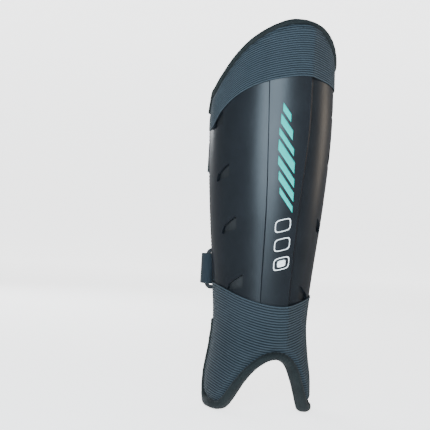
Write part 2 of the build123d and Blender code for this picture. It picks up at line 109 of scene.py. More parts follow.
@dataclass
class LegForm:
    """The form of the leg that every layer of the guard follows, in metres.

    A place on it is (q, z): q runs from -1 at the left side through 0 at the front to 1 at the
    right side, and past 1 along the straight wing, STRAIGHT metres for each unit.
    """

    heights: tuple = (-0.010, 0.030, 0.056, 0.084, 0.130, 0.200, 0.270, 0.330, 0.390)
    half_widths: tuple = (0.0410, 0.0400, 0.0365, 0.0346, 0.0385, 0.0455, 0.0496, 0.0480, 0.0450)
    depths: tuple = (0.0410, 0.0410, 0.0390, 0.0370, 0.0400, 0.0450, 0.0470, 0.0470, 0.0460)
    forwards: tuple = (0.0080, 0.0070, 0.0045, 0.0015, 0.0, 0.0, 0.0005, 0.0025, 0.0050)
    rises: tuple = (-0.003, -0.003, -0.002, 0.0003, 0.0028, 0.003, 0.003, 0.003, 0.003)
    panel_middles: tuple = (0.0052, 0.0052, 0.0052, 0.0052, 0.0052, 0.0065, 0.0077, 0.0064, 0.0064)
    panel_halves: tuple = (0.0135, 0.0135, 0.0135, 0.0135, 0.0135, 0.0153, 0.0190, 0.0200, 0.0200)
    rear: float = 0.014
    straight: float = 0.070
    shell_face: float = 0.010
    panel_curve: float = 7.4
    bevel_width: float = 0.0034
    bevel_drop: float = 0.0095
    drape_reach: float = 0.034

    def __post_init__(self) -> None:
        """Fits the curves of the leg's measures against height."""
        self.half_width = Profile(self.heights, self.half_widths)
        self.depth = Profile(self.heights, self.depths)
        self.forward = Profile(self.heights, self.forwards)
        self.rise = Profile(self.heights, self.rises)
        self.panel_middle = Profile(self.heights, self.panel_middles)
        self.panel_half = Profile(self.heights, self.panel_halves)

    def point(self, q: Array, z: Array, offset: Array | float) -> Array:
        """Places on a layer of the form.

        Args:
            q: place around the leg.
            z: height.
            offset: distance out from the leg's surface.

        Returns:
            The points, one row each.
        """
        q, z, offset = np.broadcast_arrays(*(np.asarray(a, float) for a in (q, z, offset)))
        wide = self.half_width(z) + offset
        deep = self.depth(z) + offset
        turn = np.clip(q, -1, 1) * math.pi / 2
        past = np.maximum(np.abs(q) - 1, 0) * self.straight
        x = wide * np.sin(turn)
        y = -self.forward(z) - deep * np.cos(turn) + past
        return np.stack([x, y, z], -1)

    def cover(self, q: Array, z: Array, lift: Array | float, drape: bool = False) -> Array:
        """Points on a skin that lies over the shell and its raised panel.

        Args:
            q: places around the leg.
            z: heights.
            lift: distance out from the shell's face.
            drape: whether it spans from the panel's shoulders to the wings, as stretched cloth does.

        Returns:
            The points, one row each.
        """
        p = self.point(q, z, np.asarray(lift) + self.shell_face)
        z, lift = p[..., 2], np.broadcast_to(lift, p[..., 0].shape)
        x = p[..., 0] - self.panel_middle(z)
        half = self.panel_half(z)
        base = -self.forward(z) - self.depth(z) - self.shell_face - lift
        front = base - self.rise(z)
        shoulder = front + self.panel_curve * half ** 2
        top = half + lift / 2
        face = front + self.panel_curve * x ** 2
        bevel = (np.abs(x) - top) / (self.bevel_width + lift / 2)
        side = shoulder + bevel * (base + self.bevel_drop - shoulder)
        if drape:
            slope, reach = self.span(z, lift, np.sign(x), top, shoulder)
            side = shoulder + (np.abs(x) - top) * slope
            panel = np.where(np.abs(x) < top, face, side)
            p[..., 1] = np.where(np.abs(x) - top < reach, np.minimum(p[..., 1], panel), p[..., 1])
        else:
            panel = np.where(np.abs(x) < top, face, side)
            p[..., 1] = np.where(bevel < 1, np.minimum(p[..., 1], panel), p[..., 1])
        return p

    def span(self, z: Array, lift: Array, side: Array, top: Array, shoulder: Array) -> tuple[Array, Array]:
        """How cloth spans in plan from a shoulder of the panel to where it meets the wing.

        Args:
            z: heights.
            lift: distance out from the shell's face.
            side: -1 left of the panel's middle, 1 right of it.
            top: the shoulder's distance from the panel's middle.
            shoulder: the shoulder's y.

        Returns:
            How fast y grows with the distance from the panel's middle, and how far the span reaches.
        """
        side = np.where(side < 0, -1.0, 1.0)
        wide, deep = self.half_width(z) + self.shell_face + lift, self.depth(z) + self.shell_face + lift
        best, span = np.full(z.shape, 9.0), np.zeros(z.shape)
        for reach in np.linspace(0.0015, self.drape_reach, 24):
            x = self.panel_middle(z) + side * (top + reach)
            wing = -self.forward(z) - deep * np.sqrt(np.clip(1 - (x / wide) ** 2, 0, 1))
            slope = (wing - shoulder) / reach
            nearer = (np.abs(x) < wide * 0.98) & (slope < best)
            best, span = np.where(nearer, slope, best), np.where(nearer, reach, span)
        return best, span

    def rear_q(self, z: Array, extra: float = 0.0) -> Array:
        """Returns the q of the wing's rear edge at a height, plus an extra length."""
        return 1 + (self.rear + extra + self.forward(z)) / self.straight

    def outward(self, q: Array, z: Array) -> Array:
        """Returns the level outward direction at places on the form."""
        turn = np.clip(q, -1, 1) * math.pi / 2
        n = np.stack([np.sin(turn) / self.half_width(z), -np.cos(turn) / self.depth(z),
                      np.zeros_like(turn)], -1)
        return n / np.linalg.norm(n, axis=-1, keepdims=True)

    def across(self, x: Array, z: Array, offset: float) -> Array:
        """Returns the q of the front-half points with that x."""
        return np.arcsin(np.clip(x / (self.half_width(z) + offset), -1, 1)) * 2 / math.pi


LEG = LegForm()


@dataclass
class Edges:
    """The guard's edges as seen from the front, as heights against x, and round its sides."""

    rim: Profile = field(default_factory=lambda: Profile(
        [-0.072, -0.062, -0.054, -0.042, -0.028, -0.008, 0.010, 0.034, 0.048, 0.056, 0.062, 0.072],
        [0.262, 0.300, 0.322, 0.343, 0.358, 0.370, 0.375, 0.372, 0.361, 0.345, 0.322, 0.280]))
    cuff: Profile = field(default_factory=lambda: Profile(
        [-0.072, -0.060, -0.053, -0.040, -0.021, 0.005, 0.025, 0.045, 0.060, 0.072],
        [0.240, 0.268, 0.286, 0.301, 0.312, 0.319, 0.321, 0.318, 0.313, 0.308]))
    sleeve: Profile = field(default_factory=lambda: Profile(
        [-0.072, -0.048, -0.025, 0.0, 0.020, 0.048, 0.072],
        [0.128, 0.120, 0.110, 0.104, 0.104, 0.113, 0.120]))
    arch: Profile = field(default_factory=lambda: Profile(
        [-0.043, -0.0325, -0.019, -0.006, 0.008, 0.020, 0.028, 0.0335, 0.040],
        [-0.004, 0.006, 0.030, 0.045, 0.052, 0.046, 0.028, 0.012, -0.004]))
    lobe_rear: float = 0.017
    lobe_corner: float = 0.024
    slope_front: float = -0.014
    slope_rear: float = 0.024

    def over(self, curve: Profile, q: Array, offset: float, start: float) -> Array:
        """Height of a front-view edge at each q, found where it crosses a layer.

        Args:
            curve: the edge's height against x.
            q: places around the leg.
            offset: the layer's offset.
            start: a height to start from.

        Returns:
            The heights.
        """
        z = np.full(np.shape(q), start, float)
        for _ in range(40):
            z = 0.6 * z + 0.4 * curve(LEG.point(q, z, offset)[..., 0])
        return z

    def rim_z(self, q: Array, drop: float = 0.0) -> Array:
        """Returns the height of the top rim at each q, less a drop, with its slope at the rear."""
        z = self.over(self.rim, q, 0.010, 0.33)
        y = LEG.point(q, z, 0.010)[..., 1]
        share = (y - self.slope_front) / (self.slope_rear - self.slope_front)
        left = 0.3255 + share * (0.2795 - 0.3255)
        right = 0.3595 + share * (0.3215 - 0.3595)
        return np.minimum(z, np.where(q < 0, left, right)) - drop

    def arch_line(self, inset: float, count: int = 90) -> tuple[Array, Array]:
        """Points of the arch over the instep, drawn out square to its curve.

        Args:
            inset: how far the arch is drawn out.
            count: how many points.

        Returns:
            Their x and their z.
        """
        x = np.linspace(self.arch.x[0], self.arch.x[-1], count)
        z = self.arch(x)
        heading = np.stack([np.gradient(x), np.gradient(z)])
        heading /= np.linalg.norm(heading, axis=0)
        return x - heading[1] * inset, z + heading[0] * inset

    def foot_z(self, q: Array, inset: float) -> Array:
        """Returns the lower edge of the ankle part at each q, drawn in by an inset."""
        ax, az = self.arch_line(inset)
        z = np.full(np.shape(q), 0.02)
        for _ in range(30):
            x = LEG.point(q, np.clip(z, 0, None), 0.006)[..., 0]
            z = 0.6 * z + 0.4 * np.interp(x, ax, az, left=-0.02, right=-0.02)
        back = LEG.point(q, np.clip(z, 0, None), 0.006)[..., 1] - (self.lobe_rear - self.lobe_corner)
        radius = self.lobe_corner - inset
        inside = np.clip(radius ** 2 - back ** 2, 0, None)
        corner = self.lobe_corner - np.where(back > 0, np.sqrt(inside), radius)
        return np.maximum(z, corner)

    def flex_z(self, q: Array, offset: float) -> Array:
        """Returns the height where the ankle pads start, which drops towards the front."""
        y = LEG.point(q, 0.08, offset)[..., 1]
        return np.minimum(0.070 + (y + 0.080) / 0.084 * 0.016, 0.086)


EDGES = Edges()


# ---------------------------------------------------------------- mesh helpers


def finish_mesh(bm: bmesh.types.BMesh, name: str, smooth: bool = True) -> bpy.types.Object:
    """Makes an object of a bmesh and frees it.

    Args:
        bm: the mesh.
        name: the piece's name.
        smooth: whether its faces shade smoothly.

    Returns:
        The object, at the origin.
    """
    mesh = bpy.data.meshes.new(name)
    for f in bm.faces:
        f.smooth = smooth
    bm.to_mesh(mesh)
    bm.free()
    obj = bpy.data.objects.new(name, mesh)
    bpy.context.scene.collection.objects.link(obj)
    return obj


def grid_piece(name: str, columns: int, rows: int, place: Place, flat: Place,
               keep: Callable[[Array, Array, Array], Array] | None = None, closed: bool = False,
               flip: bool = False) -> bpy.types.Object:
    """A piece shaped from a flat grid.

    Args:
        name: the piece's name.
        columns: faces along u.
        rows: faces along v.
        place: gives the points for arrays of u and v, each 0 to 1.
        flat: gives the UV map, in metres, for the same arrays.
        keep: tells which points stay, from u, v and the points.
        closed: joins the first and last rows, and caps the ends, as for a tube.
        flip: turns the faces round.

    Returns:
        The object.
    """
    bm = bmesh.new()
    bmesh.ops.create_grid(bm, x_segments=columns, y_segments=rows, size=0.5)
    uv_layer = bm.loops.layers.uv.new("flat")
    bm.verts.index_update()
    at = np.array([v.co[:2] for v in bm.verts]) + 0.5
    uv = flat(at[:, 0], at[:, 1])
    for f in bm.faces:
        for loop in f.loops:
            loop[uv_layer].uv = uv[loop.vert.index]
    points = place(at[:, 0], at[:, 1])
    stays = np.ones(len(at), bool) if keep is None else keep(at[:, 0], at[:, 1], points)
    gone = []
    for v, p, stay in zip(bm.verts, points, stays):
        v.co = p
        if not stay:
            gone.append(v)
    bmesh.ops.delete(bm, geom=gone, context="VERTS")
    if closed:
        bmesh.ops.remove_doubles(bm, verts=bm.verts, dist=2e-6)
        rims = [e for e in bm.edges if e.is_boundary]
        if rims:
            bmesh.ops.holes_fill(bm, edges=rims, sides=0)
        bmesh.ops.recalc_face_normals(bm, faces=bm.faces)
    elif flip:
        bmesh.ops.reverse_faces(bm, faces=bm.faces)
    return finish_mesh(bm, name)


def flat_size(width: float, length: float) -> Place:
    """Returns a UV map that spreads a grid evenly over its cut size."""
    return lambda u, v: np.stack([u * width, v * length], -1)


def thicken(obj: bpy.types.Object, thickness: float, offset: float = -1.0) -> bpy.types.Object:
    """Gives a sheet its thickness and returns it."""
    mod = obj.modifiers.new("thickness", "SOLIDIFY")
    mod.thickness = thickness
    mod.offset = offset
    mod.use_even_offset = False
    return obj


def rounded(obj: bpy.types.Object, levels: int = 1) -> bpy.types.Object:
    """Subdivides a piece smoothly and returns it."""
    mod = obj.modifiers.new("smooth", "SUBSURF")
    mod.levels = levels
    mod.render_levels = levels
    return obj


def oval(around: int, square: float = 2.3) -> Array:
    """Returns the points of a closed oval section, within -1 to 1, squarer for a higher number."""
    angle = np.linspace(0, 2 * math.pi, around + 1)
    c, s = np.cos(angle), np.sin(angle)
    return np.stack([np.sign(c) * np.abs(c) ** (2 / square), np.sign(s) * np.abs(s) ** (2 / square)], -1)


def flat_section(width: float, thick: float, corner: float, steps: int = 12) -> Array:
    """Returns the points of a closed strap section with rounded edges, within -1 to 1."""
    corners = []
    for turn in range(4):
        sx, sy = (1, 1, -1, -1)[turn], (-1, 1, 1, -1)[turn]
        angle = np.radians(np.linspace(-90, 0, 4) + 90 * turn)
        centre = np.array([sx * (width / 2 - corner), sy * (thick / 2 - corner)])
        corners.append(centre + corner * np.stack([np.cos(angle), np.sin(angle)], -1))
    run = np.linspace(0, 1, steps + 1)[1:-1, None]
    top = corners[1][-1] + (corners[2][0] - corners[1][-1]) * run
    base = corners[3][-1] + (corners[0][0] - corners[3][-1]) * run
    points = np.concatenate([corners[0], corners[1], top, corners[2], corners[3], base, corners[0][:1]])
    return points / [width / 2, thick / 2]


def lengths_along(path: Array) -> Array:
    """Returns how far along a path each of its points is."""
    return np.concatenate([[0], np.cumsum(np.linalg.norm(np.diff(path, axis=0), axis=1))])


def resampled(path: Array, step: float) -> Array:
    """Returns a path's points respaced evenly, about a step apart."""
    lengths = lengths_along(path)
    at = np.linspace(0, lengths[-1], max(int(lengths[-1] / step), 2))
    return np.stack([np.interp(at, lengths, path[:, k]) for k in range(path.shape[1])], -1)


def swept(name: str, path: Array, outward: Array, width: Array | float, thick: Array | float,
          section: Array, ripple: Callable[[Array, Array], Array] | None = None) -> bpy.types.Object:
    """A padded roll, a tape or a strap that follows a path.

    Args:
        name: the piece's name.
        path: the centre's points.
        outward: the outward direction at each point.
        width: the section's size across the surface.
        thick: the section's size square to the surface.
        section: the closed section, within -1 to 1, across and out.
        ripple: extra radius in metres, for the length along and the side, -1 to 1.

    Returns:
        The object.
    """
    ahead = np.gradient(path, axis=0)
    ahead /= np.linalg.norm(ahead, axis=1, keepdims=True)
    out = outward - (outward * ahead).sum(1, keepdims=True) * ahead
    out /= np.linalg.norm(out, axis=1, keepdims=True)
    side = np.cross(ahead, out)
    along = lengths_along(path)
    count, around = len(path) - 1, len(section) - 1
    width = np.broadcast_to(width, (count + 1,)) / 2
    thick = np.broadcast_to(thick, (count + 1,)) / 2
    girth = lengths_along(section * [float(width.mean()), float(thick.mean())])

    def place(u: Array, v: Array) -> Array:
        i, k = np.rint(u * count).astype(int), np.rint(v * around).astype(int)
        extra = ripple(along[i], np.cos(2 * math.pi * (v - 0.1))) if ripple else 0.0
        reach_side = (section[k, 0] * (width[i] + extra))[:, None]
        reach_out = (section[k, 1] * (thick[i] + extra))[:, None]
        return path[i] + side[i] * reach_side + out[i] * reach_out

    def flat(u: Array, v: Array) -> Array:
        i, k = np.rint(u * count).astype(int), np.rint(v * around).astype(int)
        return np.stack([along[i], girth[k]], -1)

    return grid_piece(name, count, around, place, flat, closed=True)


def pillow(name: str, q_from: Callable[[Array], Array], q_to: Callable[[Array], Array],
           low: Callable[[Array], Array], high: Callable[[Array], Array], layer: tuple[float, float],
           columns: int, around: int, square: float, end: float) -> bpy.types.Object:
    """A closed pad between two layers of the form, rounded at its edges.

    Args:
        name: the piece's name.
        q_from: where it starts around the leg, by height.
        q_to: where it ends, by height.
        low: its lower edge, by q.
        high: its upper edge, by q.
        layer: its inner and outer offsets.
        columns: faces along it.
        around: faces around its section.
        square: how square its section is.
        end: how square its ends are.

    Returns:
        The object.
    """
    middle, half = (layer[1] + layer[0]) / 2, (layer[1] - layer[0]) / 2
    ring = oval(around, square)

    def place(u: Array, v: Array) -> Array:
        k = np.rint(v * around).astype(int)
        share = 0.5 - 0.5 * np.cos(math.pi * u)
        taper = np.clip(1 - np.abs(2 * share - 1) ** end, 0, 1) ** (1 / end)
        z = np.full(u.shape, 0.1)
        for _ in range(3):
            q = q_from(z) + (q_to(z) - q_from(z)) * share
            top, foot = high(q), low(q)
            z = (top + foot) / 2 + (top - foot) / 2 * ring[k, 0]
        return LEG.point(q, z, middle + half * taper * ring[k, 1])

    return grid_piece(name, columns, around, place, flat_size(0.1, 0.1), closed=True)


def swell(obj: bpy.types.Object, voxel: float, cap: float, pressure: float = 4.0,
          frames: int = 20) -> bpy.types.Object:
    """Fills a pad out as cloth under pressure, then leaves only the mesh.

    Args:
        obj: the pad, closed and a little small.
        voxel: the size its mesh is rebuilt at.
        cap: the furthest a point may move.
        pressure: how hard it is filled.
        frames: how many steps it is filled over.

    Returns:
        The pad.
    """
    remesh = obj.modifiers.new("rebuild", "REMESH")
    remesh.mode = "VOXEL"
    remesh.voxel_size = voxel
    apply_modifiers(obj)
    rest = np.array([v.co for v in obj.data.vertices])
    cloth = obj.modifiers.new("cloth", "CLOTH")
    cloth.settings.use_pressure = True
    cloth.settings.uniform_pressure_force = pressure
    cloth.settings.effector_weights.gravity = 0
    cloth.settings.quality = 5
    for frame_number in range(1, frames + 1):
        bpy.context.scene.frame_set(frame_number)
    graph = bpy.context.evaluated_depsgraph_get()
    moved = np.array([v.co for v in obj.evaluated_get(graph).data.vertices])
    obj.modifiers.remove(cloth)
    bpy.context.scene.frame_set(1)
    shift = moved - rest
    reach = np.linalg.norm(shift, axis=1, keepdims=True)
    placed = rest + shift * np.minimum(1, cap / np.maximum(reach, 1e-9))
    obj.data.vertices.foreach_set("co", placed.ravel())
    obj.data.update()
    for polygon in obj.data.polygons:
        polygon.use_smooth = True
    return rounded(obj)


def apply_modifiers(obj: bpy.types.Object) -> None:
    """Makes a piece's modifiers part of its mesh."""
    graph = bpy.context.evaluated_depsgraph_get()
    mesh = bpy.data.meshes.new_from_object(obj.evaluated_get(graph))
    obj.modifiers.clear()
    obj.data = mesh


def stitches(name: str, path: Array, outward: Array, step: float, length: float = 0.0026,
             radius: float = 0.00028) -> bpy.types.Object:
    """A row of thread stitches, one short capsule each, laid along a path.

    Args:
        name: the piece's name.
        path: points of the seam.
        outward: the outward direction at each point.
        step: from one stitch to the next.
        length: a stitch's length.
        radius: the thread's radius.

    Returns:
        The object.
    """
    lengths = lengths_along(path)
    bm = bmesh.new()
    for at in np.arange(step / 2, lengths[-1] - step / 2, step):
        centre, front, back, out = (
            Vector(np.array([np.interp(x, lengths, data[:, k]) for k in range(3)]))
            for x, data in ((at, path), (at + length / 2, path), (at - length / 2, path), (at, outward)))
        ahead = (front - back).normalized()
        side = ahead.cross(out).normalized()
        turn = Matrix((side, ahead, ahead.cross(side))).transposed().to_4x4()
        turn = Matrix.Translation(centre) @ turn @ Matrix.Diagonal((radius, length / 2, radius, 1))
        bmesh.ops.create_icosphere(bm, subdivisions=1, radius=1.0, matrix=turn)
    return finish_mesh(bm, name)


# ---------------------------------------------------------------- finishes


class Nodes:
    """A material being wired up, with short ways to add and join its nodes."""

    def __init__(self, name: str) -> None:
        """Starts a material that has only a principled shader."""
        self.material = bpy.data.materials.new(name)
        self.material.use_nodes = True
        self.tree = self.material.node_tree
        self.shader = self.tree.nodes["Principled BSDF"]

    def add(self, kind: str, **values: object) -> bpy.types.Node:
        """Adds a node and sets its properties, or its inputs where it has one of that name."""
        node = self.tree.nodes.new(f"ShaderNode{kind}")
        for key, value in values.items():
            label = key.replace("_", " ").title()
            if hasattr(node, key):
                setattr(node, key, value)
            else:
                node.inputs[label].default_value = value
        return node

    def join(self, source: bpy.types.NodeSocket, target: bpy.types.NodeSocket) -> None:
        """Joins two sockets."""
        self.tree.links.new(source, target)

    def coordinates(self, socket: str = "Object", scale: Sequence[float] = (1, 1, 1)) -> bpy.types.NodeSocket:
        """Returns scaled texture coordinates, from Object or UV."""
        source = self.add("TexCoord")
        mapping = self.add("Mapping")
        mapping.inputs["Scale"].default_value = scale
        self.join(source.outputs[socket], mapping.inputs["Vector"])
        return mapping.outputs["Vector"]

    def noise(self, vector: bpy.types.NodeSocket, scale: float, detail: float = 3.0) -> bpy.types.NodeSocket:
        """Returns a noise value at that scale."""
        node = self.add("TexNoise")
        node.inputs["Scale"].default_value = scale
        node.inputs["Detail"].default_value = detail
        self.join(vector, node.inputs["Vector"])
        return node.outputs["Fac"]

    def ramp(self, value: bpy.types.NodeSocket,
             stops: Sequence[tuple[float, Sequence[float]]]) -> bpy.types.NodeSocket:
        """Returns a colour ramp's colour for a value."""
        node = self.add("ValToRGB")
        ramp = node.color_ramp
        while len(ramp.elements) < len(stops):
            ramp.elements.new(0.5)
        for element, (place, colour) in zip(ramp.elements, stops):
            element.position = place
            element.color = (*colour[:3], 1)
        self.join(value, node.inputs["Fac"])
        return node.outputs["Color"]

    def spread(self, value: bpy.types.NodeSocket, low: float, high: float) -> bpy.types.NodeSocket:
        """Returns a 0 to 1 value spread over a new range."""
        node = self.add("MapRange")
        node.inputs["To Min"].default_value = low
        node.inputs["To Max"].default_value = high
        self.join(value, node.inputs["Value"])
        return node.outputs["Result"]

    def sum(self, a: bpy.types.NodeSocket, b: bpy.types.NodeSocket, share: float) -> bpy.types.NodeSocket:
        """Returns a plus a share of b."""
        node = self.add("Math", operation="MULTIPLY_ADD")
        self.join(b, node.inputs[0])
        node.inputs[1].default_value = share
        self.join(a, node.inputs[2])
        return node.outputs["Value"]

    def bump(self, height: bpy.types.NodeSocket, strength: float, distance: float) -> None:
        """Puts a bump on the shader's normal."""
        node = self.add("Bump")
        node.inputs["Strength"].default_value = strength
        node.inputs["Distance"].default_value = distance
        self.join(height, node.inputs["Height"])
        self.join(node.outputs["Normal"], self.shader.inputs["Normal"])

    def set(self, **values: object) -> None:
        """Sets the shader's own sockets."""
        for key, value in values.items():
            self.shader.inputs[key.replace("_", " ").title().replace("Ior", "IOR")].default_value = value


def shade(colour: Sequence[float], factor: float) -> tuple[float, float, float]:
    """Returns a colour made lighter or darker."""
    return tuple(min(c * factor, 1.0) for c in colour[:3])


@dataclass(frozen=True)
class MouldedPlastic:
    """Satin injection-moulded plastic, with a fine grain and faint scuffs."""

    name: str
    colour: tuple[float, float, float]
    roughness: float = 0.36
    grain: float = 2600.0
    grain_depth: float = 0.00002
    scuffs: float = 0.10
    ior: float = 1.26

    def build(self) -> bpy.types.Material:
        """Returns the material."""
        n = Nodes(self.name)
        at = n.coordinates()
        cloud = n.noise(at, 38.0, 5.0)
        stretched = n.coordinates("Object", (260, 260, 34))
        scratch = n.noise(stretched, 3.0, 4.0)
        mixed = n.sum(cloud, scratch, 0.35)
        low, high = self.roughness - self.scuffs / 2, self.roughness + self.scuffs / 2
        n.join(n.spread(mixed, low, high), n.shader.inputs["Roughness"])
        n.join(n.ramp(cloud, [(0.35, shade(self.colour, 0.88)), (0.7, shade(self.colour, 1.12))]),
               n.shader.inputs["Base Color"])
        n.bump(n.sum(n.noise(at, self.grain, 2.0), cloud, 0.15), 0.35, self.grain_depth)
        n.set(ior=self.ior, specular_ior_level=1.0)
        return n.material


@dataclass(frozen=True)
class RibbedElastic:
    """Elastic knit with raised ribs: fine yarn columns cross each rib, with painted shade in the grooves and
    a painted highlight on the rib crests.
    """

    name: str
    colour: tuple[float, float, float]
    pitch: float = 0.0024
    yarn: float = 0.00062

    def build(self) -> bpy.types.Material:
        """Returns the material."""
        n = Nodes(self.name)
        at = n.coordinates("UV")
        ribs = n.add("TexWave", bands_direction="Y", wave_profile="SIN")
        ribs.inputs["Scale"].default_value = 0.314 / self.pitch
        n.join(at, ribs.inputs["Vector"])
        yarns = n.add("TexWave", bands_direction="X", wave_profile="SIN")
        yarns.inputs["Scale"].default_value = 0.314 / self.yarn
        yarns.inputs["Distortion"].default_value = 1.2
        yarns.inputs["Detail Scale"].default_value = 6.0
        n.join(at, yarns.inputs["Vector"])
        fuzz = n.noise(at, 5200.0, 3.0)
        worn = n.noise(at, 60.0, 3.0)
        # the rib wave paints shade into the grooves and a highlight onto the crests, mixed with fuzz and
        # random tone
        tone = n.sum(n.sum(ribs.outputs["Fac"], fuzz, 0.5), worn, 0.35)
        n.join(n.ramp(tone, [(0.25, shade(self.colour, 0.42)), (0.75, self.colour),
                             (1.0, shade(self.colour, 2.4))]),
               n.shader.inputs["Base Color"])
        n.bump(n.sum(yarns.outputs["Fac"], fuzz, 0.7), 0.6, 0.00012)
        n.set(roughness=0.86, sheen_weight=0.03, sheen_roughness=0.45, specular_ior_level=0.12)
        return n.material


@dataclass(frozen=True)
class Knit:
    """A close knit or brushed cloth: tiny loops, a soft nap and a little unevenness of shade."""

    name: str
    colour: tuple[float, float, float]
    loop: float = 1500.0
    nap: float = 0.5
    depth: float = 0.00016

    def build(self) -> bpy.types.Material:
        """Returns the material."""
        n = Nodes(self.name)
        at = n.coordinates()
        cells = n.add("TexVoronoi")
        cells.inputs["Scale"].default_value = self.loop
        n.join(at, cells.inputs["Vector"])
        fuzz = n.noise(at, self.loop * 2.2, 3.0)
        worn = n.noise(at, 70.0, 4.0)
        tone = n.sum(n.sum(fuzz, cells.outputs["Distance"], -0.5), worn, 0.5)
        n.join(n.ramp(tone, [(0.15, shade(self.colour, 0.55)), (0.75, shade(self.colour, 1.35))]),
               n.shader.inputs["Base Color"])
        n.bump(n.sum(fuzz, cells.outputs["Distance"], -0.9), 0.7, self.depth)
        n.set(roughness=0.9, sheen_weight=self.nap, sheen_roughness=0.5, specular_ior_level=0.1)
        return n.material


@dataclass(frozen=True)
class Webbing:
    """Woven strap: ribs across its length, with yarns along it."""

    name: str
    colour: tuple[float, float, float]
    pitch: float = 0.0011

    def build(self) -> bpy.types.Material:
        """Returns the material."""
        n = Nodes(self.name)
        at = n.coordinates("UV")
        waves = []
        for direction, size in (("X", self.pitch), ("Y", self.pitch * 0.8)):
            wave = n.add("TexWave", bands_direction=direction, wave_profile="SIN")
            wave.inputs["Scale"].default_value = 0.314 / size
            wave.inputs["Distortion"].default_value = 0.5
            n.join(at, wave.inputs["Vector"])
            waves.append(wave.outputs["Fac"])
        weave = n.sum(waves[0], waves[1], 0.6)
        fuzz = n.noise(at, 6000.0, 2.0)
        tone = n.sum(n.sum(weave, fuzz, 0.5), n.noise(at, 45.0, 3.0), 0.5)
        n.join(n.ramp(tone, [(0.3, shade(self.colour, 0.5)), (1.0, shade(self.colour, 1.4))]),
               n.shader.inputs["Base Color"])
        n.bump(n.sum(weave, fuzz, 0.4), 0.8, 0.00022)
        n.set(roughness=0.8, sheen_weight=0.03, sheen_roughness=0.4, specular_ior_level=0.15)
        return n.material


@dataclass(frozen=True)
class Foam:
    """Closed-cell foam with fine pores."""

    name: str
    colour: tuple[float, float, float]

    def build(self) -> bpy.types.Material:
        """Returns the material."""
        n = Nodes(self.name)
        at = n.coordinates()
        pores = n.add("TexVoronoi")
        pores.inputs["Scale"].default_value = 1900.0
        n.join(at, pores.inputs["Vector"])
        cloud = n.noise(at, 90.0, 4.0)
        n.join(n.ramp(n.sum(cloud, pores.outputs["Distance"], 0.4),
                      [(0.3, shade(self.colour, 0.8)), (0.8, shade(self.colour, 1.25))]),
               n.shader.inputs["Base Color"])
        n.bump(n.sum(pores.outputs["Distance"], cloud, 0.6), 0.5, 0.0001)
        n.set(roughness=0.7, specular_ior_level=0.35)
        return n.material


@dataclass(frozen=True)
class Ink:
    """A screen-printed layer: flat colour, a little thin at random spots, with a soft gloss."""

    name: str
    colour: tuple[float, float, float]

    def build(self) -> bpy.types.Material:
        """Returns the material."""
        n = Nodes(self.name)
        at = n.coordinates()
        speck = n.noise(at, 700.0, 5.0)
        n.join(n.ramp(speck, [(0.22, shade(self.colour, 0.8)), (0.42, self.colour)]),
               n.shader.inputs["Base Color"])
        n.bump(n.noise(at, 1500.0, 2.0), 0.2, 0.00002)
        n.set(roughness=0.55, specular_ior_level=0.05)
        return n.material


class Finish(Enum):
    """Every finish on the guard."""

    SHELL = MouldedPlastic("shell_plastic_satin", (0.0075, 0.0095, 0.0120), 0.33)
    RING = MouldedPlastic("ring_plastic_grained", (0.006, 0.006, 0.007), 0.45, 1800.0, 0.00004)
    CUFF = RibbedElastic("ribbed_elastic_cuff", (0.0135, 0.0185, 0.0225), 0.0021)
    SLEEVE = RibbedElastic("ribbed_elastic_sleeve", (0.0125, 0.0170, 0.0205), 0.0025)
    ROLL = Knit("rim_knit", (0.0120, 0.0150, 0.0155), 1300.0, 0.04)
    LINING = Knit("brushed_lining_knit", (0.010, 0.011, 0.013), 1100.0, 0.08, 0.00022)
    TAPE = Knit("binding_tape_knit", (0.020, 0.016, 0.013), 1700.0, 0.03)
    STRAP = Webbing("strap_webbing_weave", (0.0125, 0.0175, 0.0220))
    PILE = Knit("loop_pile_nap", (0.007, 0.008, 0.009), 900.0, 0.1, 0.0004)
    HOOKS = Foam("hook_tape_face", (0.006, 0.006, 0.007))
    FOAM = Foam("eva_foam_cells", (0.012, 0.013, 0.014))
    THREAD = Knit("thread_twist", (0.016, 0.019, 0.021), 2600.0, 0.02)
    CYAN = Ink("print_cyan", (0.0, 0.40, 0.34))
    PALE = Ink("print_white", (0.80, 0.83, 0.83))

    def material(self) -> bpy.types.Material:
        """Returns this finish's material, made the first time it is asked for."""
        return bpy.data.materials.get(self.value.name) or self.value.build()


class Slot(Enum):
    """The record's material slots."""

    SHELL = "shell_plastic"
    FOAM = "eva_foam"
    LINING = "brushed_lining"
    TAPE = "binding_tape"
    ELASTIC = "ribbed_elastic"
    RIM = "rim_fabric"
    STRAP = "strap_webbing"
    PILE = "loop_pile"
    HOOK = "hook_tape"
    RING = "ring_plastic"


def dress(obj: bpy.types.Object, finish: Finish, slot: Slot) -> bpy.types.Object:
    """Gives a piece its finish and returns it; the slot argument is not used."""
    obj.data.materials.clear()
    obj.data.materials.append(finish.material())
    LOG.info("%s: %s, %d faces", obj.name, finish.name.lower(), len(obj.data.polygons))
    return obj


def repaint(node: str, finish: Finish) -> None:
    """Gives a CAD node that stays in view its finish."""
    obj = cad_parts[node]
    material = finish.material()
    if obj.material_slots:
        for slot in obj.material_slots:
            slot.material = material
    else:
        obj.data.materials.append(material)
    LOG.info("%s: repainted %s", node, finish.name.lower())


# ---------------------------------------------------------------- the guard's pieces


def around_guard(u: Array, z: Array, extra: float = 0.0) -> Array:
    """Returns q for shares 0 to 1 from the left rear edge to the right one."""
    return (2 * u - 1) * LEG.rear_q(z, extra)


def settled(u: Array, edge: Callable[[Array], Array], rise: Array | float) -> tuple[Array, Array]:
    """Finds q and z of points at shares u round the guard, a rise above an edge.

    Args:
        u: shares round the guard.
        edge: the edge's height by q.
        rise: distance above it.

    Returns:
        The points' q and z.
    """
    z = np.full(np.shape(u), 0.2)
    for _ in range(4):
        q = around_guard(u, np.clip(z, 0, 0.38))
        z = edge(q) + rise
    return q, z


